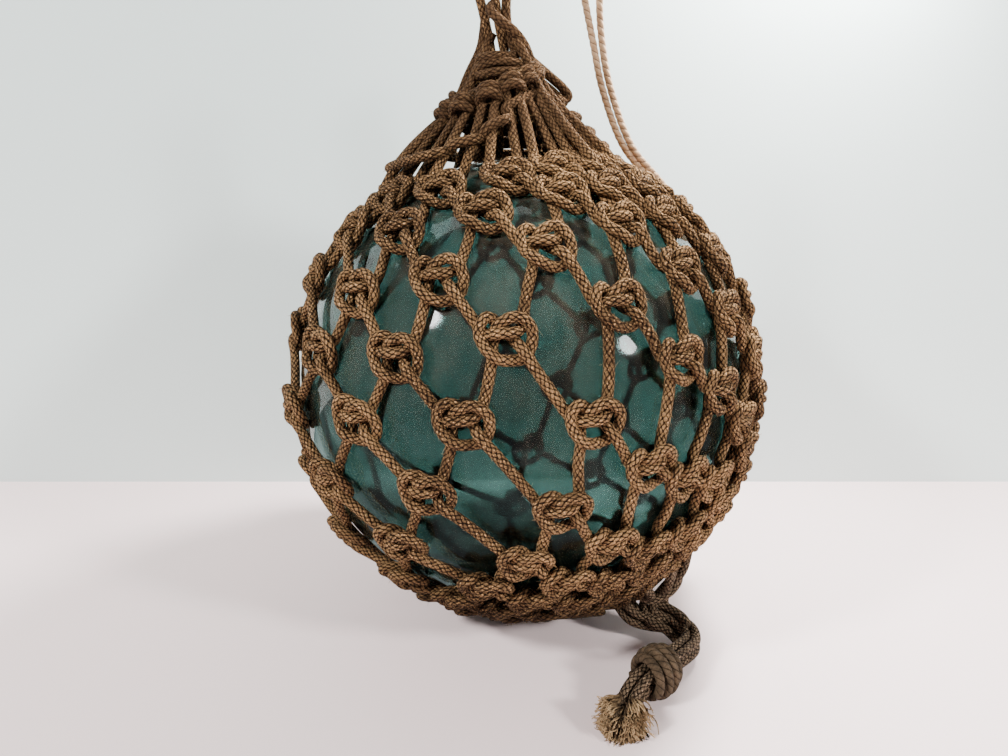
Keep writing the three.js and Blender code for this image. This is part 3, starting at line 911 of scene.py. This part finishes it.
glass_wall = 5 * MM
outer_ripple, inner_ripple = 0.1 * MM, 0.6 * MM


def ball(name, radius):
    bpy.ops.mesh.primitive_uv_sphere_add(segments=128, ring_count=64, radius=radius, location=ball_centre)
    made = bpy.context.object
    made.name = name
    return made


def blown_skin(name, radius, ripple, inward=False):
    """A ball whose surface swells and sinks gently, as hand-blown glass does."""
    skin = ball(name, radius)
    for vertex in skin.data.vertices:
        way = vertex.co.normalized()
        swell = math.sin(3 * way.x + 5 * way.z) * math.sin(4 * way.y - 2 * way.z + 1)
        vertex.co = way * (vertex.co.length + ripple * swell)
    if inward:
        skin.data.flip_normals()
    return skin


glass_outside = blown_skin("glass_skin", ball_radius - outer_ripple, outer_ripple)
glass_inside = blown_skin("glass_inner_skin", ball_radius - glass_wall, inner_ripple, inward=True)
bpy.ops.object.select_all(action="DESELECT")
glass_inside.select_set(True)
glass_outside.select_set(True)
bpy.context.view_layer.objects.active = glass_outside
bpy.ops.object.join()
bpy.ops.object.transform_apply(location=True, rotation=True, scale=True)
glass_outside.name = "blown_glass"
glass_outside.data.shade_smooth()

glass_finish = Finish("glass")
glass_streaks = glass_finish.noise(1.0, detail=1, vector=glass_finish.stretched(30, 30, 7))
glass_shader = glass_finish.node("BsdfPrincipled", {
    "Base Color": (0.14, 0.245, 0.232, 1),
    "Roughness": 0.045,
    "IOR": 1.5,
    "Transmission Weight": 1.0,
    "Normal": glass_finish.bump(glass_streaks, 0.1, 0.6 * MM),
})
glass_outside.data.materials.clear()
glass_outside.data.materials.append(glass_finish.surface(glass_shader))
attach(glass_outside, "root")
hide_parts("glass_float")

# The dust is a skin of its own over the glass, clear where there is none
dust_lift = 0.06 * MM
dust_skin = ball("dust_skin", ball_radius + dust_lift)
bpy.ops.object.transform_apply(location=True, rotation=True, scale=True)
dust_skin.data.shade_smooth()
dust = Finish("dust")
dust_patch = dust.noise(19, detail=4, roughness=0.6)
dust_streak = dust.noise(1.0, vector=dust.stretched(150, 150, 16))
dust_speck = dust.noise(1500, detail=2).between(0.66, 0.74)
dust_foot, dust_full = 100 * MM, 290 * MM
dust_cover = dust.height().between(dust_foot, dust_full)
dust_haze = (dust_patch * 0.6 + dust_streak * 0.4).between(0.38, 0.66)
dust_shader = dust.node("BsdfPrincipled", {
    "Base Color": (0.24, 0.205, 0.15, 1),
    "Roughness": 1.0,
    "Specular IOR Level": 0.1,
    "Alpha": (dust_haze * (dust_cover * 0.19 + 0.02) + dust_speck * dust_haze * dust_cover * 0.05).clamped(),
})
dust_skin.data.materials.append(dust.surface(dust_shader))
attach(dust_skin, "root")
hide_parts("glass_float")

# ---------------------------------------------------------------- the fuzz
# Broken fibres stand out all over the old rope. Each is a thin three-sided spike that is bent once, and is
# kept out of the glass and the floor.

fuzz_count = 15000
fuzz_thickness, fuzz_root = 0.11 * MM, 0.47
fuzz_gap = 0.2 * MM
fuzz_dice = np.random.default_rng(3)
fuzz_paths = [path - np.array(ball_centre) for path in net_paths + drawstring_paths]
fuzz_roots = np.vstack([path[1:-1] for path in fuzz_paths])
fuzz_ahead = np.vstack([path[2:] - path[:-2] for path in fuzz_paths])
picked = fuzz_dice.integers(0, len(fuzz_roots), fuzz_count)
along_rope = fuzz_ahead[picked] / np.linalg.norm(fuzz_ahead[picked], axis=1)[:, None]
outwards = fuzz_dice.normal(size=(fuzz_count, 3))
outwards -= along_rope * (outwards * along_rope).sum(axis=1)[:, None]
outwards /= np.linalg.norm(outwards, axis=1)[:, None]
fuzz_roots = fuzz_roots[picked] + outwards * rope_diameter * fuzz_root
fuzz_length = fuzz_dice.uniform(1.2, 3.6, (fuzz_count, 1)) * MM
fuzz_lean = along_rope * fuzz_dice.uniform(-1.3, 1.3, (fuzz_count, 1))
fuzz_bend = fuzz_dice.normal(size=(fuzz_count, 3)) * 0.35
fuzz_middle = fuzz_roots + (outwards * 0.6 + fuzz_lean) * fuzz_length * 0.5
fuzz_tips = fuzz_middle + (outwards * 0.5 + fuzz_lean + fuzz_bend) * fuzz_length * 0.5
fuzz_width = np.cross(along_rope, outwards) * fuzz_thickness
fuzz_depth = along_rope * fuzz_thickness
fuzz_vertices = np.stack([
    fuzz_roots + fuzz_width, fuzz_roots - fuzz_width, fuzz_roots + fuzz_depth,
    fuzz_middle + fuzz_width, fuzz_middle - fuzz_width, fuzz_middle + fuzz_depth, fuzz_tips,
], axis=1)
fuzz_reach = np.linalg.norm(fuzz_vertices, axis=2)
fuzz_vertices *= np.maximum(1, (ball_radius + fuzz_gap) / fuzz_reach)[:, :, None]
fuzz_vertices = fuzz_vertices.reshape(-1, 3) + np.array(ball_centre)
fuzz_vertices[:, 2] = np.maximum(fuzz_vertices[:, 2], 0)
# A fibre has seven corners: three at its root, three at its middle and its tip
fibre_corners = 7
one_fibre = [(0, 1, 4, 3), (1, 2, 5, 4), (2, 0, 3, 5), (3, 4, 6), (4, 5, 6), (5, 3, 6)]
fuzz_faces = [[fibre_corners * k + c for c in face] for k in range(fuzz_count) for face in one_fibre]
fuzz_mesh = bpy.data.meshes.new("fuzz")
fuzz_mesh.from_pydata(fuzz_vertices.tolist(), [], fuzz_faces)
fuzz_yarn = Finish("fuzz")
fuzz_mesh.materials.append(fuzz_yarn.surface(fuzz_yarn.node("BsdfPrincipled", {
    "Base Color": (0.3, 0.18, 0.085, 1),
    "Roughness": 0.9,
    "Specular IOR Level": 0.15,
})))
fuzz = bpy.data.objects.new("net_fuzz", fuzz_mesh)
bpy.context.scene.collection.objects.link(fuzz)
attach(fuzz, "root")
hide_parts("rope_net")

# ---------------------------------------------------------------- the floor, the wall and the lights
# A pale table against a pale wall. A soft box stands at either side, with a faint twin that alone shines in
# the glass, and a small box close above lights the top. The room gives a little light all round.

wall_behind = 185 * MM
table_width, table_depth, wall_height = 2.4, 0.8, 1.6


def backdrop(name, colour, depth, location, tilt=0):
    """A sheet as wide as the table, painted on its front and clear from its back."""
    bpy.ops.mesh.primitive_plane_add(size=1, location=location, rotation=(math.radians(tilt), 0, 0))
    sheet = bpy.context.object
    sheet.name = name
    sheet.scale = (table_width, depth, 1)
    bpy.ops.object.transform_apply(location=True, rotation=True, scale=True)
    paint = Finish(name + "_paint")
    coat = paint.node("BsdfPrincipled", {"Base Color": colour, "Roughness": 0.7})
    back = paint.node("NewGeometry", output="Backfacing")
    clear = paint.node("BsdfTransparent")
    sheet.data.materials.append(paint.surface(paint.node("MixShader", {0: back, 1: coat, 2: clear})))
    return sheet


floor = backdrop("floor", (0.93, 0.75, 0.735, 1), table_depth, (0, wall_behind - table_depth / 2, 0))
backdrop("wall", (0.7, 0.8, 0.775, 1), wall_height, (0, wall_behind, wall_height / 2), tilt=90)
# The bright table isn't mirrored in the glass
floor.visible_glossy = False


def soft_box(name, direction, distance, size, power):
    bpy.ops.object.light_add(type="AREA", location=ball_centre + direction.normalized() * distance)
    box = bpy.context.object
    box.name = name
    box.rotation_euler = direction.to_track_quat("Z", "Y").to_euler()
    box.data.shape = "DISK"
    box.data.size = size
    box.data.energy = power
    return box


to_left = Vector((-0.665, -0.475, 0.587))
to_right = Vector((0.732, -0.541, 0.41))
to_top = Vector((0.55, 0.3, 0.9))
left_box = soft_box("left_box", to_left, distance=2.5, size=0.36, power=88)
right_box = soft_box("right_box", to_right, distance=2.5, size=0.36, power=70)
left_box.visible_glossy = False
right_box.visible_glossy = False
soft_box("left_glow", to_left, distance=2.45, size=0.3, power=3)
soft_box("right_glow", to_right, distance=2.45, size=0.36, power=2.4)
top_box = soft_box("top_box", to_top, distance=0.52, size=0.14, power=15)
top_box.visible_glossy = False
top_box.visible_transmission = False
world = bpy.data.worlds.new("room")
bpy.context.scene.world = world
world.use_nodes = True
world.node_tree.nodes["Background"].inputs["Color"].default_value = (0.9, 0.95, 1, 1)
world.node_tree.nodes["Background"].inputs["Strength"].default_value = 0.2
